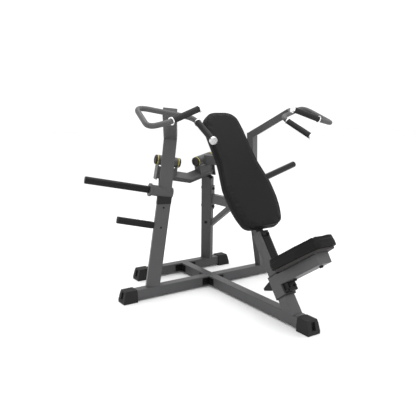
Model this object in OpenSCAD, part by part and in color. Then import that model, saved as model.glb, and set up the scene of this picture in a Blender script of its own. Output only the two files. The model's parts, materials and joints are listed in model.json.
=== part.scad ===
// Plate-loaded press machine with two independent lever arms, a reclined
// backrest and a seat that slides on an inclined rail.
// X runs across the machine, -Y is the side the user faces, Z is up.

/* [Base frame] */
// Side of the square base tubes
base_tube = 70; // [60:1:80]
// Gap between the base tubes and the floor
base_clear = 12; // [8:1:16]
// Half length of the front crossbeam, shoes included
front_half = 738; // [700:1:780]
// Half length of the rear crossbeam, shoes included
rear_half = 433; // [400:1:470]
// Distance from the front crossbeam back to the rear one
rear_y = 406; // [395:1:420]
// Distance from the front crossbeam to the tip of the front shoe
front_reach = 1106; // [1090:1:1130]
// Wall of every steel tube
wall = 3; // [2:0.5:4]

/* [Shoes] */
// Length of a rubber end shoe
shoe_l = 105; // [95:1:115]
// Width of a shoe at the floor
shoe_w = 96; // [90:1:105]
// Height of a shoe
shoe_h = 88; // [86:1:100]

/* [Legs and columns] */
// Wide side of the leg and arm tubes
bar_w = 90; // [85:1:95]
// Narrow side of the leg and arm tubes
bar_t = 50; // [45:1:55]
// Wide side of the leg tubes
leg_w = 96; // [92:1:98]
// Distance of a leg's foot from the middle
leg_x = 494; // [485:1:505]
// Inward lean of the legs, degrees
leg_lean = 9.6; // [9:0.1:10]
// Turn of the legs about the vertical, degrees
leg_turn = 20; // [16:1:24]
// Height of the legs
leg_top = 666; // [655:1:667]
// Distance of a rear column from the middle
column_x = 234; // [225:1:240]
// Turn of the rear columns about the vertical, degrees
column_turn = 28; // [26:1:30]

/* [Arm pivots] */
// Sweep of each pivot axis towards the back, degrees
pivot_sweep = 15.7; // [14:0.1:17]
// Rise of each pivot axis towards the outside, degrees
pivot_rise = 10.3; // [9:0.1:11]
// Middle of the right pivot tube
pivot_pos = [163.4, 351.3, 922.5];
// Outside diameter of a pivot tube
pivot_d = 76; // [70:1:80]
// Length of a pivot tube
pivot_l = 142; // [136:1:146]
// Diameter of a pivot shaft
shaft_d = 25; // [20:1:30]
// Running clearance of the bearings, radial
bearing_gap = 0.05; // [0.02:0.01:0.1]

/* [Press arms] */
// Turn of the arm tubes about the vertical, degrees
arm_turn = 28; // [27:0.5:29]
// Length of the forward tube from the elbow to its end
press_l = 340; // [334:1:346]
// Diameter of the bent handle bar
bar_d = 34; // [30:1:34]
// Outside diameter of the rubber grips
grip_d = 39; // [38:1:41]

/* [Weight horns] */
// Diameter of the weight horns
horn_d = 50; // [49:0.5:50]
// Clear length of a loading horn
horn_l = 433; // [420:1:450]
// Clear length of a storage horn
store_l = 250; // [220:1:260]
// Sweep of the loading horns towards the back, degrees
horn_sweep = 12.1; // [11.5:0.1:12.5]
// Rise of the horns towards their tips, degrees
horn_rise = 11.5; // [11:0.1:12]

/* [Seat and backrest] */
// Recline of the backrest and its rail, degrees from the vertical
recline = 37; // [36.5:0.1:37.5]
// Side of the square seat rail
rail_w = 80; // [76:1:80]
// Distance of the rail's middle in front of the base crossing, square to it
rail_f = 780; // [776:1:784]
// Length of the backrest pad
back_l = 895; // [880:5:905]
// Thickness of the backrest pad
back_t = 70; // [66:1:76]
// Length of the seat pad
seat_l = 408; // [400:1:416]
// Thickness of the seat pad
seat_t = 71; // [66:1:76]

/* [Hidden] */
$fn = 48;

frame_grey = [0.33, 0.33, 0.34];
black = [0.10, 0.10, 0.10];
silver = [0.88, 0.88, 0.88];
yellow = [0.80, 0.76, 0.30];

big = 3000;               // reach of a cutting block
corner_r = 5;             // outside corner radius of the tubes
beam_top = base_clear + base_tube;
nose_reach = 1188;        // seat's nose, in front of the crossing
column_reach = 455.8;     // rear columns, behind the crossing
cross_y = (nose_reach - column_reach) / 2;   // crossing, from the middle of the footprint

unit = function(v) v / norm(v);
pivot_axis = [cos(pivot_rise) * cos(pivot_sweep), cos(pivot_rise) * sin(pivot_sweep), sin(pivot_rise)];
horn_axis = [cos(horn_rise) * cos(horn_sweep), cos(horn_rise) * sin(horn_sweep), sin(horn_rise)];
store_axis = [cos(horn_rise) * cos(leg_turn), cos(horn_rise) * sin(leg_turn), sin(horn_rise)];

ear_t = 8;                // thickness of a pivot ear
ear_gap = 1;              // gap from a pivot tube to its ears
ear_in = pivot_l / 2 + ear_gap;
ring_t = 5;               // yellow ring under each cap
cap_t = 16;               // black cap
bearing_t = 20;
bearing_d = pivot_d - 12;

crossbar_w = 80;          // crossbar section, wide side
crossbar_t = 40;          // crossbar section, narrow side
crossbar_tilt = 34;       // tilt of the wide side
crossbar_apex = [0, 310, 785];
crossbar_l = pivot_axis * (pivot_pos - crossbar_apex) + ear_in;   // up to the outer ears
end_plate_w = 90;         // outer ears close the crossbar's ends
end_plate_down = 150;
saddle_drop = 48;         // saddle plate between the ears, below the pivot

arm_slope = [-0.084, -0.084];                       // lean of an upright per unit of height
arm_mid = [373, -19, 900];                          // a point on the middle of the right upright
elbow = arm_mid + 230 * [arm_slope.x, arm_slope.y, 1];
press_dir = [0.430, -0.752, 0.503];                   // direction of the forward tube
horn_root = [377, -8, 746];                         // where the horn's axis meets the upright
socket_d = 76;
socket_in = -42;              // socket tube, inner end along the horn's axis
socket_out = 126;             // socket tube, outer end
flange_t = 14;
flange_d = 92;
spigot_d = horn_d - 4;        // stepped root of a horn
spigot_out = 1;               // spigot left bare outside a socket
store_step = 12;              // spigot left bare outside a leg

leg_slope = [-tan(leg_lean), 0];
leg_at = function(z) leg_x - (z - beam_top) * tan(leg_lean);
bumper_top = 722;
store_z = 515;                // height of a storage horn's root

column_slope = [-0.031, -0.067];
support_z = 595;              // middle height of the backrest's support beam
support_h = 75;
support_x = 250;
support_front = 100;          // where the beam meets the strut
support_plate = 8;
bolt_heights = [534, 684];    // through bolts of the support beam
brace_w = 40;
brace_low = [support_x, 318, 408];
brace_dir = [0, -208, 138];

rail_low = -485;              // rail's foot, along it
rail_top = 60;
pad_front = 873;              // front face of the backrest pad, square to the rail
board_t = 14;
back_face = pad_front - back_t;
back_low = 72;                // lower end of the backrest pad, along the rail
rack_low = -225;
rack_t = 6;
rack_w = 52;
tooth = 12;
carriage_low = -376;
carriage_l = 136;
carriage_wall = 4;
slide_gap = 0.5;
carriage_in = rail_w / 2 + slide_gap + 1.5;          // inner half width, room for the liner
carriage_out = carriage_in + carriage_wall;
carriage_front = rail_w / 2 + rack_t + 1.5;          // inner face in front, clears the rack
seat_tilt = 4;                // the seat tips this much below square to the rail
seat_low = -313;              // underside of the seat's box at the carriage
box_h = 68;
box_w = 100;
seat_back = 44;               // rear edge of the pad, from the box's rear end

// ---------- helpers ----------

// Everything is laid out from the middle of the base crossing on the floor.
module from_crossing() translate([0, cross_y, 0]) children();

// Turns +Z onto direction d at point p.
module aim(p, d, roll = 0)
    translate(p)
    rotate([0, acos(d.z / norm(d)), atan2(d.y, d.x)])
    rotate([0, 0, roll])
    children();

// Turns the seat rail's own frame upright: z runs up the rail, -y square to its front.
module rail_frame() from_crossing() rotate([-recline, 0, 0]) children();

// Stands children at p, turned about the vertical and leaning by slope per unit of height.
module standing(p, turn, slope) {
    sx = slope.x * cos(turn) + slope.y * sin(turn);
    sy = slope.y * cos(turn) - slope.x * sin(turn);
    b = atan(sx);
    translate(p) rotate([0, 0, turn]) rotate([-atan(sy * cos(b)), b, 0]) children();
}

module arm_frame() standing(arm_mid, arm_turn, arm_slope) children();
module leg_frame() standing([leg_x, 0, beam_top], leg_turn, leg_slope) children();
module column_frame() standing([column_x, rear_y, beam_top], column_turn, column_slope) children();

module left() mirror([1, 0, 0]) children();

module rounded(x, y, r) {
    square([x - 2 * r, y], center = true);
    square([x, y - 2 * r], center = true);
    for (i = [-1, 1], j = [-1, 1])
        translate([i * (x / 2 - r), j * (y / 2 - r)]) circle(r, $fn = 24);
}

// Steel tube along +Z from a to b.
module steel_tube(x, y, a, b)
    translate([0, 0, a]) linear_extrude(b - a)
    difference() {
        rounded(x, y, corner_r);
        rounded(x - 2 * wall, y - 2 * wall, corner_r - wall);
    }

module solid_bar(x, y, a, b) translate([-x / 2, -y / 2, a]) cube([x, y, b - a]);

// Hexagon bolt head with its washer, standing on z = 0.
module bolt_head(d = 12) {
    cylinder(d = d * 2, h = 2.5);
    translate([0, 0, 2.5]) cylinder(d = d * 1.85, h = d * 0.65, $fn = 6);
}

// Tube of radius r swept along a list of points.
module swept(pts, r, sides = 16) {
    n = len(pts);
    dirs = [for (i = [0 : n - 1])
        unit(pts[min(i + 1, n - 1)] - pts[max(i - 1, 0)])];
    side = function(d) unit(cross(d, [0.2, 0.1, 1]));
    rings = [for (i = [0 : n - 1]) let (u = side(dirs[i]), v = cross(dirs[i], u))
        for (k = [0 : sides - 1]) pts[i] + r * (cos(k * 360 / sides) * u + sin(k * 360 / sides) * v)];
    faces = concat(
        [for (i = [0 : n - 2], k = [0 : sides - 1]) let (m = (k + 1) % sides)
            [i * sides + k, i * sides + m, (i + 1) * sides + m, (i + 1) * sides + k]],
        [[for (k = [sides - 1 : -1 : 0]) k]],
        [[for (k = [0 : sides - 1]) (n - 1) * sides + k]]);
    polyhedron(rings, faces, convexity = 6);
}

// Points of a polyline whose corners are rounded by r.
function rounded_path(p, r) = [
    for (i = [0 : len(p) - 1])
        if (i == 0 || i == len(p) - 1) p[i]
        else let (a = p[i - 1] - p[i], b = p[i + 1] - p[i],
                  t = min(r[i], norm(a) * 0.49, norm(b) * 0.49),
                  s = p[i] + a / norm(a) * t, e = p[i] + b / norm(b) * t)
            each [for (k = [0 : 6]) let (q = k / 6)
                (1 - q) * (1 - q) * s + 2 * q * (1 - q) * p[i] + q * q * e]
];

// ---------- base ----------

module main_beam() color(frame_grey) from_crossing()
    translate([0, 0, base_clear + base_tube / 2]) rotate([90, 0, 0])
    steel_tube(base_tube, base_tube, -(rear_y - base_tube / 2), front_reach - shoe_l / 2);

module rear_crossbeam() color(frame_grey) from_crossing()
    translate([0, rear_y, base_clear + base_tube / 2]) rotate([0, 90, 0])
    steel_tube(base_tube, base_tube, -(rear_half - shoe_l / 2), rear_half - shoe_l / 2);

module front_crossbeam_right() color(frame_grey) from_crossing()
    translate([0, 0, base_clear + base_tube / 2]) rotate([0, 90, 0])
    steel_tube(base_tube, base_tube, base_tube / 2, front_half - shoe_l / 2);
module front_crossbeam_left() left() front_crossbeam_right();

bracket_l = 58;           // length of an angle bracket's arm
bracket_h = 50;
bracket_t = 6;

// Angle bracket in the corner of two beams, opening towards +x +y.
module angle_bracket() translate([0, 0, base_clear + base_tube / 2 - bracket_h / 2]) {
    cube([bracket_l, bracket_t, bracket_h]);
    translate([0, bracket_t, 0]) cube([bracket_t, bracket_l - bracket_t, bracket_h]);
}

module corner_brackets() color(black) from_crossing() {
    for (i = [-1, 1], j = [-1, 1])
        scale([i, j, 1]) translate([base_tube / 2, base_tube / 2, 0]) angle_bracket();
    for (i = [-1, 1]) scale([i, 1, 1]) translate([base_tube / 2, rear_y - base_tube / 2, 0])
        mirror([0, 1, 0]) angle_bracket();
}

module bracket_bolts() {
    mid = base_clear + base_tube / 2;
    reach = bracket_l * 0.66;
    translate([reach, bracket_t, mid]) rotate([-90, 0, 0]) bolt_head();
    translate([bracket_t, reach, mid]) rotate([0, 90, 0]) bolt_head();
}

module base_bolts() color(black) from_crossing() {
    for (i = [-1, 1], j = [-1, 1])
        scale([i, j, 1]) translate([base_tube / 2, base_tube / 2, 0]) bracket_bolts();
    for (i = [-1, 1]) scale([i, 1, 1]) translate([base_tube / 2, rear_y - base_tube / 2, 0])
        mirror([0, 1, 0]) bracket_bolts();
}

// Rubber shoe on a beam that ends at x = 0; it reaches out to +x.
module shoe() difference() {
    hull() {
        linear_extrude(18) translate([-shoe_l, -shoe_w / 2]) square([shoe_l, shoe_w]);
        translate([0, 0, shoe_h - 14]) linear_extrude(14)
            translate([-shoe_l, -shoe_w / 2 + 9]) square([shoe_l - 20, shoe_w - 18]);
        translate([0, 0, shoe_h - 30]) linear_extrude(8)
            translate([-shoe_l, -shoe_w / 2 + 4]) square([shoe_l - 12, shoe_w - 8]);
    }
    translate([-shoe_l - 1, -base_tube / 2, base_clear]) cube([shoe_l / 2 + 1, base_tube, base_tube]);
    translate([-26, -15, 26]) cube([30, 30, 50]);
}

module front_shoe() color(black) from_crossing()
    translate([0, -front_reach, 0]) rotate([0, 0, -90]) shoe();

module side_shoes() color(black) from_crossing() for (i = [-1, 1]) scale([i, 1, 1]) {
    translate([front_half, 0, 0]) shoe();
    translate([rear_half, rear_y, 0]) shoe();
}

// ---------- legs ----------

// Everything below height z.
module below(z) translate([-big / 2, -big / 2, z - big]) cube(big);
module above(z) translate([-big / 2, -big / 2, z]) cube(big);

module leg_right() color(frame_grey) from_crossing() difference() {
    leg_frame() steel_tube(leg_w, bar_t, -30, 620);
    below(beam_top);
    above(leg_top);
}
module leg_left() left() leg_right();

// Rubber block that an arm's socket rests on.
module rest_bumper() difference() {
    leg_frame() linear_extrude(700) rounded(leg_w + 3, bar_t + 6, corner_r + 2);
    below(leg_top);
    above(bumper_top);
    horn_line() translate([0, 0, -200]) cylinder(d = socket_d + 1.2, h = 400);
    horn_line() translate([-100 - socket_d / 4, -100, -200]) cube([100, 200, 400]);
}
module rest_bumpers() color(black) from_crossing() for (i = [-1, 1]) scale([i, 1, 1]) rest_bumper();

wide_axis = [cos(leg_turn), sin(leg_turn), 0];
store_root = [leg_at(store_z), 0, store_z] + wide_axis * leg_w / 2;
module storage_horn_right() color(black) from_crossing() difference() {
    aim(store_root, store_axis) {
        translate([0, 0, -40]) cylinder(d = spigot_d, h = store_step + 40);
        translate([0, 0, store_step]) cylinder(d = horn_d, h = store_l - store_step);
    }
    leg_frame() translate([leg_w / 2 - big, -big / 2, -big / 2]) cube(big);
}
module storage_horn_left() left() storage_horn_right();

module storage_caps() color(black) from_crossing() for (i = [-1, 1]) scale([i, 1, 1])
    aim(store_root, store_axis) translate([0, 0, store_l]) {
        cylinder(d = horn_d, h = 8);
        translate([0, 0, 8]) cylinder(d1 = horn_d, d2 = horn_d - 6, h = 4);
    }

// Plugs on the legs, and the bolts that hold the support beam to its column.
module frame_bolts() color(black) from_crossing() {
    for (i = [-1, 1], z = [500, 640]) scale([i, 1, 1])
        leg_frame() translate([0, -bar_t / 2, (z - beam_top) / cos(leg_lean)])
        rotate([90, 0, 0]) cylinder(d = 14, h = 2);
    column_frame() for (z = bolt_heights) translate([0, 0, z - beam_top]) {
        translate([0, -bar_w / 2 - support_plate, 0]) rotate([90, 0, 0]) bolt_head();
        translate([0, bar_w / 2, 0]) rotate([-90, 0, 0]) bolt_head();
    }
    column_frame() translate([-bar_t / 2, 0, 396 - beam_top]) rotate([0, -90, 0]) bolt_head(10);
}

// ---------- rear columns and crossbar ----------

// Frame of the right half of the crossbar: z runs outwards, x is the wide side.
module crossbar_frame() aim(crossbar_apex, pivot_axis, 90 + crossbar_tilt) children();
module crossbar_shape() crossbar_frame() solid_bar(crossbar_w, crossbar_t, -60, crossbar_l + 1);

module column_right() color(frame_grey) from_crossing() difference() {
    column_frame() steel_tube(bar_t, bar_w, -20, 850);
    below(beam_top);
    crossbar_frame() translate([-big / 2, -crossbar_t / 2, -big / 2]) cube(big);
}
module column_left() left() column_right();

module crossbar_right() color(frame_grey) from_crossing() difference() {
    crossbar_frame() steel_tube(crossbar_w, crossbar_t, -60, crossbar_l);
    translate([-big, -big / 2, -big / 2]) cube(big);
}
module crossbar_left() left() crossbar_right();

module pivot_frame() aim(pivot_pos, pivot_axis) children();
module shaft_hole() cylinder(d = shaft_d, h = 400, center = true);

module pivot_ears_right() color(frame_grey) from_crossing() difference() {
    union() {
        pivot_frame() translate([0, 0, -ear_in - ear_t]) {
            cylinder(d = pivot_d - 6, h = ear_t);
            translate([0, -30, 0]) cube([125, 60, ear_t]);
        }
        pivot_frame() translate([0, 0, ear_in]) {
            cylinder(d = pivot_d, h = ear_t);
            translate([0, -pivot_d / 2, 0]) cube([60, pivot_d, ear_t]);
            translate([40, -end_plate_w / 2, 0]) cube([end_plate_down - 40, end_plate_w, ear_t]);
        }
        pivot_frame() translate([saddle_drop, -30, -ear_in]) {
            cube([ear_t, 60, 2 * ear_in]);
            cube([100, ear_t, 2 * ear_in]);
        }
    }
    pivot_frame() shaft_hole();
    crossbar_frame() solid_bar(crossbar_w, crossbar_t, -60, crossbar_l);
    crossbar_frame() translate([-big / 2, -big, -big / 2]) cube([big, big, big / 2 + crossbar_l]);
}
module pivot_ears_left() left() pivot_ears_right();

module pivot_shafts() color(silver) from_crossing() for (i = [-1, 1]) scale([i, 1, 1])
    pivot_frame() translate([0, 0, -ear_in - ear_t - ring_t])
    cylinder(d = shaft_d, h = 2 * (ear_in + ear_t + ring_t));

module pivot_rings() color(yellow) from_crossing() for (i = [-1, 1]) scale([i, 1, 1])
    pivot_frame() for (k = [0, 1]) mirror([0, 0, k]) translate([0, 0, ear_in + ear_t]) difference() {
        cylinder(d = pivot_d, h = ring_t);
        translate([0, 0, -1]) cylinder(d = shaft_d, h = ring_t + 2);
    }

module pivot_caps() color(black) from_crossing() for (i = [-1, 1]) scale([i, 1, 1])
    pivot_frame() for (k = [0, 1]) mirror([0, 0, k]) translate([0, 0, ear_in + ear_t + ring_t])
    difference() {
        union() {
            cylinder(d = pivot_d - 2, h = cap_t - 5);
            translate([0, 0, cap_t - 5]) cylinder(d1 = pivot_d - 2, d2 = pivot_d - 14, h = 5);
        }
        translate([0, 0, cap_t - 4]) cylinder(d = 44, h = 5);
    }

// ---------- backrest support ----------

// Everything behind the front face of the right column, or behind its plate.
module behind_column(gap = 0)
    column_frame() translate([-big / 2, -bar_w / 2 - gap, -big / 2]) cube(big);

module support_beam() color(frame_grey) from_crossing() {
    difference() {
        translate([support_x, support_front, support_z]) rotate([-90, 0, 0])
            steel_tube(bar_t, support_h, 0, 330);
        behind_column(support_plate);
    }
    column_frame() translate([-bar_t / 2, -bar_w / 2 - support_plate, bolt_heights[0] - beam_top - 24])
        difference() {
            cube([bar_t, support_plate, bolt_heights[1] - bolt_heights[0] + 48]);
            for (z = [24, bolt_heights[1] - bolt_heights[0] + 24])
                translate([bar_t / 2, -1, z]) rotate([-90, 0, 0]) cylinder(d = 12, h = 20);
        }
}

module support_brace() color(frame_grey) from_crossing() difference() {
    aim(brace_low, brace_dir) steel_tube(brace_w, brace_w, -80, 330);
    translate([support_x - 100, -200, support_z - support_h / 2]) cube([200, 800, 300]);
    behind_column();
}

strut_end = [0, -500, support_z];
strut_start = [support_x, support_front, support_z];
module support_strut() color(frame_grey) difference() {
    from_crossing() aim(strut_start, strut_end - strut_start) steel_tube(support_h, bar_t, -60, 760);
    from_crossing() translate([support_x - 200, support_front, 0]) cube([400, 400, 1200]);
    rail_frame() translate([-300, -back_face - 600 + board_t + frame_t, -500]) cube([600, 600, 2000]);
}

// ---------- seat rail and backrest ----------

module seat_rail() color(frame_grey) {
    difference() {
        rail_frame() {
            translate([0, -rail_f, 0]) steel_tube(rail_w, rail_w, rail_low - 90, rail_top - 4);
            translate([0, -rail_f, rail_top]) solid_bar(rail_w, rail_w, -4, 0);
        }
        from_crossing() below(beam_top);
    }
    from_crossing() translate([-30, -1000, beam_top]) cube([60, 50, 8]);
}

module rail_rack() color(black) rail_frame() translate([-rack_w / 2, -rail_f - rail_w / 2, 0]) {
    translate([0, -3, rack_low]) cube([rack_w, 3, rail_top - rack_low]);
    for (z = [rack_low + 4 : tooth : 10])
        translate([0, -rack_t, z]) cube([rack_w, rack_t - 3, tooth / 2]);
    translate([0, -14, 22]) cube([rack_w, 11, 16]);
    translate([rack_w - 12, -14, 30]) rotate([90, 0, 0]) bolt_head(9);
}

frame_w = 60;
frame_t = 40;
module back_frame() color(frame_grey) rail_frame()
    translate([0, -back_face + board_t + frame_t / 2, 0]) steel_tube(frame_w, frame_t, rail_top, 860);

// Half outline of the backrest: [half width, distance from its lower end].
back_outline = [
    [158, 60], [172, 100], [184, 160], [190, 240], [187, 320], [174, 390],
    [159, 460], [151, 520], [149, 620], [147, 720], [143, 800]
];
back_low_r = 70;
back_top_r = 88;
module back_shape(inset) {
    hull() for (i = [-1, 1]) {
        translate([i * (158 - back_low_r), back_low_r]) circle(back_low_r - inset, $fn = 32);
        translate([i * (143 - back_top_r), back_l - back_top_r]) circle(back_top_r - inset, $fn = 32);
    }
    side = [for (p = back_outline) [p[0] - inset, p[1]]];
    polygon(concat(side, [for (k = [len(side) - 1 : -1 : 0]) [-side[k][0], side[k][1]]]));
}

// Lies the backrest outline on the rail's frame with its back at distance f.
module on_back(f) rail_frame() translate([0, -f, back_low]) rotate([90, 0, 0]) children();

module back_board() color(black) on_back(back_face - board_t) linear_extrude(board_t) back_shape(14);
module back_pad() color(black) on_back(back_face) linear_extrude(back_t) back_shape(0);

// ---------- seat ----------

// Outline of the carriage's inside, grown by g.
module carriage_shape(g = 0)
    translate([-carriage_in - g, -carriage_front - g])
    square([2 * (carriage_in + g), carriage_front + carriage_in + 2 * g]);

module seat_carriage() color(frame_grey) rail_frame() translate([0, -rail_f, carriage_low]) {
    difference() {
        linear_extrude(carriage_l) carriage_shape(carriage_wall);
        translate([0, 0, -1]) linear_extrude(carriage_l + 2) carriage_shape();
        translate([0, 0, carriage_l / 2]) rotate([-90, 0, 0]) cylinder(d = 13, h = 100);
    }
}

// A plastic collar lines each end of the carriage and runs on the rail.
module carriage_bushes() color(black) rail_frame() translate([0, -rail_f, carriage_low])
    for (k = [0, 1]) translate([0, 0, k * carriage_l]) mirror([0, 0, k]) difference() {
        union() {
            translate([0, 0, -8]) linear_extrude(8) carriage_shape(carriage_wall);
            linear_extrude(18) carriage_shape();
        }
        solid_bar(rail_w + 2 * slide_gap, rail_w + 2 * slide_gap, -9, 19);
        translate([-rack_w / 2 - 1.5, -carriage_front - 1, -9]) cube([rack_w + 3, 20, 28]);
    }

// Clamp block on the carriage, under the seat's box.
block_f = 46;
block_h = 58;
module carriage_block() color(black) rail_frame()
    translate([0, -rail_f - carriage_front - carriage_wall, seat_low - block_f * tan(seat_tilt)]) {
        translate([-32, -block_f, -block_h]) cube([64, block_f, block_h]);
        translate([-38, -block_f + 8, -block_h + 6]) cube([76, block_f - 14, 12]);
        for (x = [-20, 20]) translate([x, -block_f, -block_h / 2]) rotate([90, 0, 0]) bolt_head(9);
    }

// Frame of the seat's box: y = 0 on the carriage, -y forwards, z = 0 on its underside.
module seat_frame() rail_frame()
    translate([0, -rail_f - carriage_front - carriage_wall, seat_low]) rotate([seat_tilt, 0, 0])
    children();

box_l = 382;
module seat_support() color(frame_grey) difference() {
    seat_frame() rotate([90, 0, 0]) translate([0, box_h / 2, -20]) {
        steel_tube(box_w, box_h, 0, box_l + 17);
        translate([0, 0, box_l + 20]) solid_bar(box_w, box_h, -3, 0);
    }
    rail_frame() translate([-200, -rail_f - carriage_front - carriage_wall, -600]) cube([400, 400, 600]);
}

module seat_shape(inset) hull() for (i = [-1, 1]) {
    translate([i * (142 - 50), 50]) circle(50 - inset, $fn = 32);
    translate([i * (120 - 40), seat_l * 0.6]) circle(40 - inset, $fn = 32);
    translate([i * (92 - 42), seat_l - 42]) circle(42 - inset, $fn = 32);
}
module on_seat(z) seat_frame() translate([0, -seat_back, z]) rotate([0, 0, 180]) children();

board_low = 12;               // seat board thickness
module seat_board() color(black) on_seat(box_h) linear_extrude(board_low) seat_shape(20);
module seat_pad() color(black) on_seat(box_h + board_low) linear_extrude(seat_t) seat_shape(0);

module seat_bumpers() color(black) seat_frame() for (y = [88, 340])
    translate([0, -y, -12]) cylinder(d = 24, h = 12);

// Sprung brake pin at the back of the carriage, with its pull lever.
lever_side = [
    [-728, -244], [-676, -246], [-602, -262], [-602, -278], [-659, -300], [-728, -322]
];
module pin_lever() color(black) rail_frame() {
    translate([0, -rail_f + rail_w / 2 + 0.4, carriage_low + carriage_l / 2]) rotate([-90, 0, 0])
        cylinder(d = 12, h = 14);
    rotate([90, 0, 90]) translate([0, 0, -5]) linear_extrude(10) polygon(lever_side);
}

// ---------- press arms, drawn for the right side ----------

// Everything past the mitre between an upright and its forward tube.
module past_elbow() aim(elbow, unit([arm_slope.x, arm_slope.y, 1]) + unit(press_dir))
    translate([-big / 2, -big / 2, 0]) cube(big);

module horn_line() aim(horn_root, horn_axis) children();
module socket_shape() horn_line() translate([0, 0, socket_in])
    cylinder(d = socket_d, h = socket_out - socket_in);

module arm_upright_right() color(frame_grey) from_crossing() difference() {
    arm_frame() steel_tube(bar_w, bar_t, -190, 300);
    past_elbow();
    socket_shape();
    below(horn_root.z);
}
module arm_upright_left() left() arm_upright_right();

module press_tube_right() color(frame_grey) from_crossing() difference() {
    intersection() {
        aim(elbow, press_dir, 6.5) {
            steel_tube(bar_t, bar_w, -80, press_l - 4);
            translate([0, 0, press_l]) solid_bar(bar_t, bar_w, -4, 0);
        }
        past_elbow();
    }
    aim(loop_corner, grip_corner - loop_corner) cylinder(d = bar_d, h = 600);
}
module press_tube_left() left() press_tube_right();

link_end = [373, -30, 905];
link_dir = link_end - pivot_pos;
module link_tube_right() color(frame_grey) from_crossing() difference() {
    aim(pivot_pos, link_dir) steel_tube(74, bar_t, 20, norm(link_dir));
    pivot_frame() cylinder(d = pivot_d, h = 300, center = true);
    arm_frame() translate([-200, -bar_t / 2 - 300, -400]) cube([400, 300 + bar_t, 800]);
}
module link_tube_left() left() link_tube_right();

module pivot_tube_right() color(frame_grey) from_crossing() pivot_frame()
    translate([0, 0, -pivot_l / 2]) difference() {
        cylinder(d = pivot_d, h = pivot_l);
        translate([0, 0, -1]) cylinder(d = bearing_d, h = pivot_l + 2);
    }
module pivot_tube_left() left() pivot_tube_right();

module pivot_bearings_right() color(silver) from_crossing() pivot_frame() for (k = [0, 1])
    mirror([0, 0, k]) translate([0, 0, pivot_l / 2 - bearing_t]) difference() {
        cylinder(d = bearing_d, h = bearing_t);
        translate([0, 0, -1]) cylinder(d = shaft_d + 2 * bearing_gap, h = bearing_t + 2);
    }
module pivot_bearings_left() left() pivot_bearings_right();

module horn_socket_right() color(frame_grey) from_crossing() horn_line() difference() {
    union() {
        translate([0, 0, socket_in]) cylinder(d = socket_d, h = socket_out - socket_in);
        translate([0, 0, socket_out - flange_t]) cylinder(d = flange_d, h = flange_t);
    }
    translate([0, 0, socket_in + 6]) cylinder(d = spigot_d, h = socket_out - socket_in);
}
module horn_socket_left() left() horn_socket_right();

module weight_horn_right() color(black) from_crossing() horn_line() {
    translate([0, 0, socket_in + 6]) cylinder(d = spigot_d, h = socket_out + spigot_out - socket_in - 6);
    translate([0, 0, socket_out + spigot_out]) cylinder(d = horn_d, h = horn_l + 5 - spigot_out);
    translate([0, 0, socket_out + horn_l + 5]) cylinder(d1 = horn_d, d2 = horn_d - 8, h = 4);
}
module weight_horn_left() left() weight_horn_right();

// Bent bar of the right handle: loop grip end first, straight grip end last.
loop_end = [391, -445, 1314];
loop_collar = [619, -487, 1238];
far_corner = [748, -480, 1212];
loop_corner = [700, -213, 1330];
grip_corner = [364, -358, 1260];
grip_end = [396, -619, 1136];
handle_route = [loop_end, loop_collar, far_corner, loop_corner, grip_corner, grip_end];
handle_round = [0, 20, 62, 90, 62, 0];
grip_collar = grip_corner + 62 * unit(grip_end - grip_corner);
module handle_bar_right() color(frame_grey) from_crossing()
    swept(rounded_path(handle_route, handle_round), bar_d / 2);
module handle_bar_left() left() handle_bar_right();

module on_grip(a, b) aim(a, b - a) children();
module sleeve(d, l) difference() {
    cylinder(d = d, h = l);
    translate([0, 0, -1]) cylinder(d = bar_d, h = l + 2);
}
loop_l = norm(loop_end - loop_collar);
grip_l = norm(grip_end - grip_collar);
ring_l = 7;

module hand_grips_right() color(black) from_crossing() {
    on_grip(loop_collar, loop_end) translate([0, 0, 21 + ring_l]) sleeve(grip_d, loop_l - 21 - ring_l);
    on_grip(grip_collar, grip_end) translate([0, 0, ring_l]) sleeve(grip_d, grip_l - ring_l);
}
module hand_grips_left() left() hand_grips_right();

module grip_caps_right() color(silver) from_crossing() {
    on_grip(loop_collar, loop_end) {
        translate([0, 0, loop_l]) cylinder(d = 48, h = 12);
        translate([0, 0, 21]) sleeve(48, ring_l);
    }
    on_grip(grip_collar, grip_end) {
        translate([0, 0, grip_l]) cylinder(d = 48, h = 12);
        sleeve(48, ring_l);
    }
}
module grip_caps_left() left() grip_caps_right();

main_beam();
rear_crossbeam();
front_crossbeam_left();
front_crossbeam_right();
corner_brackets();
base_bolts();
front_shoe();
side_shoes();
leg_left();
leg_right();
rest_bumpers();
frame_bolts();
storage_horn_left();
storage_horn_right();
storage_caps();
column_left();
column_right();
crossbar_left();
crossbar_right();
pivot_ears_left();
pivot_ears_right();
pivot_shafts();
pivot_rings();
pivot_caps();
support_beam();
support_brace();
support_strut();
seat_rail();
rail_rack();
back_frame();
back_board();
back_pad();
seat_carriage();
carriage_bushes();
carriage_block();
seat_support();
seat_board();
seat_pad();
seat_bumpers();
pin_lever();
arm_upright_left();
press_tube_left();
link_tube_left();
pivot_tube_left();
pivot_bearings_left();
horn_socket_left();
weight_horn_left();
handle_bar_left();
hand_grips_left();
grip_caps_left();
arm_upright_right();
press_tube_right();
link_tube_right();
pivot_tube_right();
pivot_bearings_right();
horn_socket_right();
weight_horn_right();
handle_bar_right();
hand_grips_right();
grip_caps_right();
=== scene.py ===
"""Looks, light and camera of a plate-loaded chest press machine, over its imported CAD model."""

import json
import logging
import math
from dataclasses import dataclass, field
from enum import Enum

import bmesh
import bpy
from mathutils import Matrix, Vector
from mathutils.bvhtree import BVHTree


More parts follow.
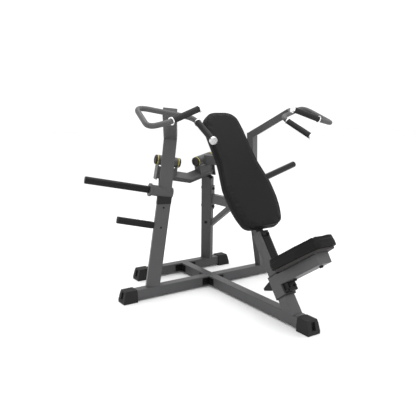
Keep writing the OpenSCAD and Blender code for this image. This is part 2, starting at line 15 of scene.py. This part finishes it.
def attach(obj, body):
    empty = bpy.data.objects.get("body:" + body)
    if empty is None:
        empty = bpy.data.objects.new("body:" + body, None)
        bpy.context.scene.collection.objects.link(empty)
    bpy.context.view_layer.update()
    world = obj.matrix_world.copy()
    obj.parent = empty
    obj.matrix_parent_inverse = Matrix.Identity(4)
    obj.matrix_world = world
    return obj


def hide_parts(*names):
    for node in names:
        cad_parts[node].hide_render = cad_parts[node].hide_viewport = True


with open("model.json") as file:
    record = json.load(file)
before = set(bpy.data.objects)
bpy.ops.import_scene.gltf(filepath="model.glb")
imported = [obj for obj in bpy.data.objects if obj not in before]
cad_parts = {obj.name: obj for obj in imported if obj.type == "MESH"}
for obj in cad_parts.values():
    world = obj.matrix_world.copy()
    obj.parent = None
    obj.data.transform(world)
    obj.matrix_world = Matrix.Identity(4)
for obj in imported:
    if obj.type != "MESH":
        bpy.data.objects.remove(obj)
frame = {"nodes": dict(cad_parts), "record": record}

LOG = logging.getLogger("chest_press")

CROSS_Y = 0.3661  # crossing of the base beams, from the frame's origin
RECLINE = math.radians(37)
RAIL_FRONT = Vector((0, -math.cos(RECLINE), math.sin(RECLINE)))
SEAT_TILT = math.radians(4)  # the seat tips this much below square to the rail
BUMP_DEPTH = 0.0006
CLOUD_SCALE = 7.0
SMEAR_SCALE = 38.0
WELD = 1e-5  # the CAD mesh's split vertices are joined within this


class Slot(Enum):
    """Material slots of the record."""

    POWDER_COAT = "powder_coat"
    BLACK_STEEL = "black_steel"
    BLACK_RUBBER = "black_rubber"
    BLACK_PLASTIC = "black_plastic"
    BRIGHT_STEEL = "bright_steel"
    YELLOW_PLASTIC = "yellow_plastic"
    BLACK_VINYL = "black_vinyl"
    PLYWOOD = "plywood"
    BRIGHT_ALUMINIUM = "bright_aluminium"


@dataclass(frozen=True)
class Finish:
    """How a surface looks.

    Args:
        colour: linear base colour.
        roughness: mean roughness.
        metallic: 0 or 1.
        mottle: relative spread of the colour.
        spread: spread of the roughness.
        grain: cells per metre of the fine relief.
        relief: strength of the fine relief's bump.
        cells: how far the relief is cellular, as in leather, from 0 to 1.
        sheen: sheen weight.
        specular: specular level.
    """

    colour: tuple[float, float, float]
    roughness: float
    metallic: float = 0.0
    mottle: float = 0.08
    spread: float = 0.06
    grain: float = 700.0
    relief: float = 0.08
    cells: float = 0.0
    sheen: float = 0.0
    specular: float = 0.5


FINISHES: dict[Slot, Finish] = {
    Slot.POWDER_COAT: Finish((0.058, 0.058, 0.060), 0.45, relief=0.10, grain=1100.0, specular=0.35),
    Slot.BLACK_STEEL: Finish((0.006, 0.006, 0.006), 0.35, relief=0.06, specular=0.16),
    Slot.BLACK_RUBBER: Finish((0.009, 0.009, 0.009), 0.7, relief=0.14, grain=500.0, specular=0.3),
    Slot.BLACK_PLASTIC: Finish((0.01, 0.01, 0.01), 0.5, relief=0.08, specular=0.3),
    Slot.BRIGHT_STEEL: Finish((0.6, 0.6, 0.6), 0.28, 1.0, spread=0.1, relief=0.03),
    Slot.YELLOW_PLASTIC: Finish((0.5, 0.42, 0.05), 0.35, relief=0.03),
    Slot.BLACK_VINYL: Finish(
        (0.005, 0.005, 0.005), 0.5, grain=620.0, relief=0.15, cells=1.0, sheen=0.01, specular=0.12
    ),
    Slot.PLYWOOD: Finish((0.02, 0.018, 0.017), 0.7, relief=0.12, grain=260.0),
    Slot.BRIGHT_ALUMINIUM: Finish((0.84, 0.84, 0.84), 0.25, 1.0, spread=0.08, relief=0.02),
}


class SurfaceGroup:
    """Node group shared by every finish: mottled colour, uneven roughness and fine relief."""

    NAME = "surface_grain"

    def build(self) -> bpy.types.NodeTree:
        """Builds the group.

        Returns:
            The node tree, with Colour, Roughness and Height outputs.
        """
        tree = bpy.data.node_groups.new(self.NAME, "ShaderNodeTree")
        face = tree.interface
        face.new_socket("Colour", in_out="INPUT", socket_type="NodeSocketColor")
        for name in ("Mottle", "Roughness", "Spread", "Grain", "Cells"):
            face.new_socket(name, in_out="INPUT", socket_type="NodeSocketFloat")
        face.new_socket("Colour", in_out="OUTPUT", socket_type="NodeSocketColor")
        face.new_socket("Roughness", in_out="OUTPUT", socket_type="NodeSocketFloat")
        face.new_socket("Height", in_out="OUTPUT", socket_type="NodeSocketFloat")
        source = tree.nodes.new("NodeGroupInput")
        result = tree.nodes.new("NodeGroupOutput")
        place = tree.nodes.new("ShaderNodeTexCoord").outputs["Object"]
        cloud = self._noise(tree, place, CLOUD_SCALE)
        smear = self._noise(tree, place, SMEAR_SCALE)
        fine = self._noise(tree, place, None)
        tree.links.new(source.outputs["Grain"], fine.node.inputs["Scale"])
        cell = tree.nodes.new("ShaderNodeTexVoronoi")
        cell.feature = "DISTANCE_TO_EDGE"
        tree.links.new(place, cell.inputs["Vector"])
        tree.links.new(source.outputs["Grain"], cell.inputs["Scale"])
        shade = self._around_one(tree, cloud, source.outputs["Mottle"])
        tint = tree.nodes.new("ShaderNodeVectorMath")
        tint.operation = "SCALE"
        tree.links.new(source.outputs["Colour"], tint.inputs[0])
        tree.links.new(shade, tint.inputs["Scale"])
        tree.links.new(tint.outputs[0], result.inputs["Colour"])
        rough = tree.nodes.new("ShaderNodeMath")
        rough.operation = "MULTIPLY_ADD"
        centred = tree.nodes.new("ShaderNodeMath")
        centred.operation = "SUBTRACT"
        centred.inputs[1].default_value = 0.5
        tree.links.new(smear, centred.inputs[0])
        tree.links.new(centred.outputs[0], rough.inputs[0])
        tree.links.new(source.outputs["Spread"], rough.inputs[1])
        tree.links.new(source.outputs["Roughness"], rough.inputs[2])
        tree.links.new(rough.outputs[0], result.inputs["Roughness"])
        relief = tree.nodes.new("ShaderNodeMix")
        relief.data_type = "FLOAT"
        tree.links.new(source.outputs["Cells"], relief.inputs["Factor"])
        tree.links.new(fine, relief.inputs["A"])
        tree.links.new(cell.outputs["Distance"], relief.inputs["B"])
        tree.links.new(relief.outputs["Result"], result.inputs["Height"])
        return tree

    @staticmethod
    def _noise(
        tree: bpy.types.NodeTree, place: bpy.types.NodeSocket, scale: float | None
    ) -> bpy.types.NodeSocket:
        """Adds a noise texture on the given coordinates and returns its value output."""
        node = tree.nodes.new("ShaderNodeTexNoise")
        node.inputs["Detail"].default_value = 3.0
        if scale is not None:
            node.inputs["Scale"].default_value = scale
        tree.links.new(place, node.inputs["Vector"])
        return node.outputs[0]

    @staticmethod
    def _around_one(
        tree: bpy.types.NodeTree, value: bpy.types.NodeSocket, spread: bpy.types.NodeSocket
    ) -> bpy.types.NodeSocket:
        """Returns 1 + (value - 0.5) * 2 * spread."""
        centred = tree.nodes.new("ShaderNodeMath")
        centred.operation = "MULTIPLY_ADD"
        centred.inputs[1].default_value = 2.0
        centred.inputs[2].default_value = -1.0
        tree.links.new(value, centred.inputs[0])
        scaled = tree.nodes.new("ShaderNodeMath")
        scaled.operation = "MULTIPLY_ADD"
        scaled.inputs[2].default_value = 1.0
        tree.links.new(centred.outputs[0], scaled.inputs[0])
        tree.links.new(spread, scaled.inputs[1])
        return scaled.outputs[0]


@dataclass
class MaterialLibrary:
    """Makes one procedural material per slot, on demand."""

    group: bpy.types.NodeTree = field(default_factory=lambda: SurfaceGroup().build())
    made: dict[Slot, bpy.types.Material] = field(default_factory=dict)

    def get(self, slot: Slot) -> bpy.types.Material:
        """Returns the material of a slot.

        Args:
            slot: the record's material slot.
        """
        if slot not in self.made:
            self.made[slot] = self._build(slot, FINISHES[slot])
        return self.made[slot]

    def _build(self, slot: Slot, finish: Finish) -> bpy.types.Material:
        """Builds a Principled material from a finish."""
        material = bpy.data.materials.new(slot.value)
        material.use_nodes = True
        nodes, links = material.node_tree.nodes, material.node_tree.links
        shader = nodes["Principled BSDF"]
        shader.inputs["Metallic"].default_value = finish.metallic
        shader.inputs["Sheen Weight"].default_value = finish.sheen
        shader.inputs["Specular IOR Level"].default_value = finish.specular
        grain = nodes.new("ShaderNodeGroup")
        grain.node_tree = self.group
        grain.inputs["Colour"].default_value = (*finish.colour, 1.0)
        grain.inputs["Mottle"].default_value = finish.mottle
        grain.inputs["Roughness"].default_value = finish.roughness
        grain.inputs["Spread"].default_value = finish.spread
        grain.inputs["Grain"].default_value = finish.grain
        grain.inputs["Cells"].default_value = finish.cells
        bump = nodes.new("ShaderNodeBump")
        bump.inputs["Strength"].default_value = finish.relief
        bump.inputs["Distance"].default_value = BUMP_DEPTH
        links.new(grain.outputs["Height"], bump.inputs["Height"])
        links.new(grain.outputs["Colour"], shader.inputs["Base Color"])
        links.new(grain.outputs["Roughness"], shader.inputs["Roughness"])
        links.new(bump.outputs["Normal"], shader.inputs["Normal"])
        return material

    def paint(self, obj: bpy.types.Object, slot: Slot) -> None:
        """Gives an object the slot's material as its only one."""
        obj.data.materials.clear()
        obj.data.materials.append(self.get(slot))
        for face in obj.data.polygons:
            face.material_index = 0

    def paint_frame(self) -> None:
        """Paints every CAD node by its slot in the record."""
        for part in frame["record"]["subparts"]:
            self.paint(frame["nodes"][part["node"]], Slot(part["material_slot"]))


def link(name: str, mesh: bpy.types.Mesh) -> bpy.types.Object:
    """Adds a mesh to the scene as an object at the origin, shaded smooth.

    Args:
        name: the object's name.
        mesh: its mesh, in the row frame.

    Returns:
        The object.
    """
    obj = bpy.data.objects.new(name, mesh)
    bpy.context.scene.collection.objects.link(obj)
    mesh.shade_smooth()
    return obj


@dataclass
class Sweep:
    """Round tube along a line of points.

    Args:
        points: the centre line.
        radius: the tube's radius.
        sides: faces round the tube.
        closed: whether the line runs back to its start.
    """

    points: list[Vector]
    radius: float
    sides: int = 24
    closed: bool = False

    def mesh(self, name: str) -> bpy.types.Mesh:
        """Builds the tube, capped where it is open.

        Args:
            name: the mesh's name.
        """
        count = len(self.points)
        bm = bmesh.new()
        across = self._tangent(0).orthogonal().normalized()
        rings = []
        for i, point in enumerate(self.points):
            along = self._tangent(i)
            across = (across - along * across.dot(along)).normalized()
            beside = along.cross(across)
            rings.append([
                bm.verts.new(point + self.radius * (math.cos(a) * across + math.sin(a) * beside))
                for a in (2 * math.pi * k / self.sides for k in range(self.sides))
            ])
        for i in range(count if self.closed else count - 1):
            here, there = rings[i], rings[(i + 1) % count]
            turn = self._twist(here, there) if self.closed and i == count - 1 else 0
            for k in range(self.sides):
                m = (k + 1) % self.sides
                near, far = there[(k + turn) % self.sides], there[(m + turn) % self.sides]
                bm.faces.new((here[k], here[m], far, near))
        if not self.closed:
            bm.faces.new(list(reversed(rings[0])))
            bm.faces.new(rings[-1])
        bmesh.ops.recalc_face_normals(bm, faces=bm.faces)
        mesh = bpy.data.meshes.new(name)
        bm.to_mesh(mesh)
        bm.free()
        return mesh

    def _tangent(self, i: int) -> Vector:
        """Direction of the line at a point."""
        count = len(self.points)
        if self.closed:
            return (self.points[(i + 1) % count] - self.points[i - 1]).normalized()
        return (self.points[min(i + 1, count - 1)] - self.points[max(i - 1, 0)]).normalized()

    def _twist(self, here: list, there: list) -> int:
        """How many sides the last ring is turned from the first."""
        return min(range(self.sides), key=lambda k: (here[0].co - there[k].co).length)


@dataclass
class Cushion:
    """Upholstered pad: the CAD solid blown up as cloth, with piping round its front edge.

    Args:
        node: the CAD node it stands for.
        body: the body it rides on.
        normal: direction that its front faces.
        fill: how full it is; not used.
        voxel: remesh size.
        swell: the most the cover moves when it is filled.
        inset: how far the cover starts inside the CAD solid.
        held_depth: share of the thickness, from the back, that keeps its shape.
        piping_r: radius of the piping.
        piping_sides: faces round the piping.
        piping_step: distance between the points of its line.
        piping_sink: how far below the front edge its line is laid.
        piping_rounds: smoothing rounds of its line.
        edge_rounds: smoothing rounds that soften the cover's edges.
        pressure: cloth pressure.
        quality: cloth steps per frame.
        frames: frames the cloth is blown up for.
    """

    node: str
    body: str
    normal: Vector
    fill: float = 0.85
    voxel: float = 0.006
    swell: float = 0.005
    inset: float = 0.002
    held_depth: float = 0.5
    piping_r: float = 0.0028
    piping_sides: int = 10
    piping_step: float = 0.008
    piping_sink: float = 0.004
    piping_rounds: int = 8
    edge_rounds: int = 3
    quick_coarser: float = 2.5
    pressure: float = 4.0
    quality: int = 4
    frames: int = 20

    def build(self, library: MaterialLibrary) -> bpy.types.Object:
        """Makes the pad and its piping.

        Args:
            library: where the vinyl comes from.

        Returns:
            The pad.
        """
        obj = link(self.node + "_cover", frame["nodes"][self.node].data.copy())
        self._remesh(obj)
        self._inflate(obj)
        obj.data.shade_smooth()
        library.paint(obj, Slot.BLACK_VINYL)
        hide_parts(self.node)
        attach(obj, self.body)
        piping = link(self.node + "_piping", self._piping(obj))
        library.paint(piping, Slot.BLACK_VINYL)
        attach(piping, self.body)
        return obj

    def _bake(self, obj: bpy.types.Object) -> None:
        """Applies the object's modifiers to its mesh."""
        graph = bpy.context.evaluated_depsgraph_get()
        graph.update()
        old = obj.data
        obj.data = bpy.data.meshes.new_from_object(obj.evaluated_get(graph))
        obj.modifiers.clear()
        bpy.data.meshes.remove(old)

    def _remesh(self, obj: bpy.types.Object) -> None:
        """Turns the solid into an even skin with softened edges, a little inside it."""
        bm = bmesh.new()
        bm.from_mesh(obj.data)
        bmesh.ops.remove_doubles(bm, verts=bm.verts, dist=WELD)
        bm.to_mesh(obj.data)
        bm.free()
        remesh = obj.modifiers.new("remesh", "REMESH")
        remesh.mode = "VOXEL"
        remesh.voxel_size = self.voxel * 1.0
        self._bake(obj)
        bm = bmesh.new()
        bm.from_mesh(obj.data)
        bm.normal_update()
        for vert in bm.verts:
            vert.co -= vert.normal * self.inset
        for _ in range(self.edge_rounds):
            bmesh.ops.smooth_vert(
                bm, verts=bm.verts, factor=0.5, use_axis_x=True, use_axis_y=True, use_axis_z=True
            )
        bm.to_mesh(obj.data)
        bm.free()

    def _inflate(self, obj: bpy.types.Object) -> None:
        """Blows the skin up as pressurised cloth, its back held on the board."""
        start = [v.co.copy() for v in obj.data.vertices]
        depth = [p.dot(self.normal) for p in start]
        back, front = min(depth), max(depth)
        limit = back + self.held_depth * (front - back)
        held = obj.vertex_groups.new(name="held")
        held.add([i for i, d in enumerate(depth) if d < limit], 1.0, "REPLACE")
        cloth = obj.modifiers.new("cloth", "CLOTH")
        cloth.settings.quality = self.quality
        cloth.settings.use_pressure = True
        cloth.settings.uniform_pressure_force = self.pressure
        cloth.settings.effector_weights.gravity = 0.0
        cloth.settings.vertex_group_mass = "held"
        cloth.collision_settings.use_collision = False
        scene = bpy.context.scene
        for number in range(1, self.frames + 1):
            scene.frame_set(number)
        self._bake(obj)
        scene.frame_set(1)
        for vert, origin in zip(obj.data.vertices, start):
            move = vert.co - origin
            if move.length > self.swell:
                vert.co = origin + move.normalized() * self.swell
        LOG.info("%s inflated, %d vertices", obj.name, len(start))

    def _piping(self, cover: bpy.types.Object) -> bpy.types.Mesh:
        """Piping along the solid's front edge, laid on the cover."""
        surface = bmesh.new()
        surface.from_mesh(cover.data)
        tree = BVHTree.FromBMesh(surface)
        outline = self._front_outline()
        points = []
        for p in outline:
            points.append(tree.find_nearest(p - self.normal * self.piping_sink)[0])
        surface.free()
        for _ in range(self.piping_rounds):
            points = [
                (points[i - 1] + points[i] * 2 + points[(i + 1) % len(points)]) / 4
                for i in range(len(points))
            ]
        sweep = Sweep(points, self.piping_r, self.piping_sides, closed=True)
        return sweep.mesh(self.node + "_piping")

    def _front_outline(self) -> list[Vector]:
        """Evenly spaced points round the front face of the CAD solid."""
        bm = bmesh.new()
        bm.from_mesh(frame["nodes"][self.node].data)
        bmesh.ops.remove_doubles(bm, verts=bm.verts, dist=WELD)
        bm.normal_update()
        front = {f for f in bm.faces if f.normal.dot(self.normal) > 0.999}
        rim = [e for e in bm.edges if len(front.intersection(e.link_faces)) == 1]
        beside: dict = {}
        for edge in rim:
            for vert in edge.verts:
                beside.setdefault(vert, []).append(edge.other_vert(vert))
        loop = [rim[0].verts[0], rim[0].verts[1]]
        while len(loop) < len(beside):
            loop.append(next(v for v in beside[loop[-1]] if v is not loop[-2]))
        corners = [v.co.copy() for v in loop]
        bm.free()
        return self._even(corners, self.piping_step)

    @staticmethod
    def _even(corners: list[Vector], step: float) -> list[Vector]:
        """Points at even steps along a closed line."""
        points = []
        for i, corner in enumerate(corners):
            span = corners[(i + 1) % len(corners)] - corner
            parts = max(1, round(span.length / step))
            points.extend(corner + span * (k / parts) for k in range(parts))
        return points


@dataclass
class HandleBar:
    """Smooth bent tube in place of the faceted one.

    Args:
        side: "left" or "right".
    """

    side: str
    radius: float = 0.017
    bend_steps: int = 14
    route: tuple = (
        ((0.391, -0.445, 1.314), 0.0),
        ((0.619, -0.487, 1.238), 0.020),
        ((0.748, -0.480, 1.212), 0.062),
        ((0.700, -0.213, 1.330), 0.090),
        ((0.364, -0.358, 1.260), 0.062),
        ((0.396, -0.619, 1.136), 0.0),
    )

    def build(self, library: MaterialLibrary) -> bpy.types.Object:
        """Makes the bar and hides the CAD node it stands for.

        Args:
            library: where its coat comes from.
        """
        node = f"handle_bar_{self.side}"
        name = f"bent_bar_{self.side}"
        bar = link(name, Sweep(self._line(), self.radius).mesh(name))
        for face in bar.data.polygons:
            face.use_smooth = len(face.vertices) == 4
        library.paint(bar, Slot.POWDER_COAT)
        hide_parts(node)
        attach(bar, f"{self.side}_arm")
        return bar

    def _line(self) -> list[Vector]:
        """Centre line of the bar, with rounded bends."""
        sign = 1.0 if self.side == "right" else -1.0
        corners = [(Vector((sign * p[0], p[1] + CROSS_Y, p[2])), r) for p, r in self.route]
        line = [corners[0][0]]
        for (before, _), (corner, reach), (after, _) in zip(corners, corners[1:], corners[2:]):
            into, out = before - corner, after - corner
            reach = min(reach, into.length * 0.49, out.length * 0.49)
            first = corner + into.normalized() * reach
            last = corner + out.normalized() * reach
            for k in range(self.bend_steps + 1):
                q = k / self.bend_steps
                line.append((1 - q) ** 2 * first + 2 * q * (1 - q) * corner + q * q * last)
        line.append(corners[-1][0])
        return line


@dataclass
class Studio:
    """Pale floor, soft light and the camera."""

    floor_half: float = 30.0
    camera_place: tuple[float, float, float] = (-2.108, -3.158 + CROSS_Y, 1.307)
    camera_yaw: float = 33.45
    camera_pitch: float = 10.65
    camera_lens: float = 44.88

    def build(self) -> None:
        """Sets up the stage."""
        self._floor()
        self._world()
        self._area("key", (-2.5, -3.5, 5.0), 4.0, 90.0)
        self._area("top", (0.5, 0.5, 5.5), 5.0, 150.0)
        self._area("fill", (4.5, -3.0, 2.5), 3.0, 30.0)
        self._camera()

    def _floor(self) -> None:
        """Plain pale floor."""
        bm = bmesh.new()
        bmesh.ops.create_grid(bm, x_segments=1, y_segments=1, size=self.floor_half)
        mesh = bpy.data.meshes.new("floor")
        bm.to_mesh(mesh)
        bm.free()
        floor = bpy.data.objects.new("floor", mesh)
        bpy.context.scene.collection.objects.link(floor)
        pale = bpy.data.materials.new("pale_floor")
        pale.use_nodes = True
        shader = pale.node_tree.nodes["Principled BSDF"]
        shader.inputs["Base Color"].default_value = (0.86, 0.86, 0.86, 1.0)
        shader.inputs["Roughness"].default_value = 0.9
        mesh.materials.append(pale)

    @staticmethod
    def _world() -> None:
        """Even pale surroundings."""
        world = bpy.data.worlds.new("studio")
        world.use_nodes = True
        ground = world.node_tree.nodes["Background"]
        ground.inputs["Color"].default_value = (1.0, 1.0, 1.0, 1.0)
        ground.inputs["Strength"].default_value = 1.15
        bpy.context.scene.world = world
        bpy.context.scene.view_settings.view_transform = "Standard"

    @staticmethod
    def _area(name: str, place: tuple[float, float, float], size: float, power: float) -> None:
        """Adds a square area light that faces the machine's middle."""
        lamp = bpy.data.lights.new(name, "AREA")
        lamp.size = size
        lamp.energy = power
        obj = bpy.data.objects.new(name, lamp)
        obj.location = place
        aim = Vector((0.0, 0.0, 0.7)) - Vector(place)
        obj.rotation_euler = aim.to_track_quat("-Z", "Y").to_euler()
        bpy.context.scene.collection.objects.link(obj)

    def _camera(self) -> None:
        """Adds the scene's camera."""
        lens = bpy.data.cameras.new("camera")
        lens.lens = self.camera_lens
        lens.sensor_width = 36.0
        camera = bpy.data.objects.new("camera", lens)
        camera.location = self.camera_place
        tilt, turn = math.radians(90 - self.camera_pitch), math.radians(-self.camera_yaw)
        camera.rotation_euler = (tilt, 0.0, turn)
        bpy.context.scene.collection.objects.link(camera)
        bpy.context.scene.camera = camera


@dataclass
class ChestPress:
    """The machine's visual model."""

    library: MaterialLibrary = field(default_factory=MaterialLibrary)

    def build(self) -> None:
        """Paints the CAD nodes and adds the pads and the handle bars."""
        self.library.paint_frame()
        lean = RECLINE - SEAT_TILT
        seat_up = Vector((0, math.sin(lean), math.cos(lean)))
        Cushion("back_pad", "frame", RAIL_FRONT).build(self.library)
        Cushion("seat_pad", "carriage", seat_up).build(self.library)
        for side in ("left", "right"):
            HandleBar(side).build(self.library)


def main() -> None:
    """Builds the scene."""
    logging.basicConfig(level=logging.INFO)
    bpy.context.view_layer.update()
    ChestPress().build()
    Studio().build()


if __name__ == "__main__":
    main()
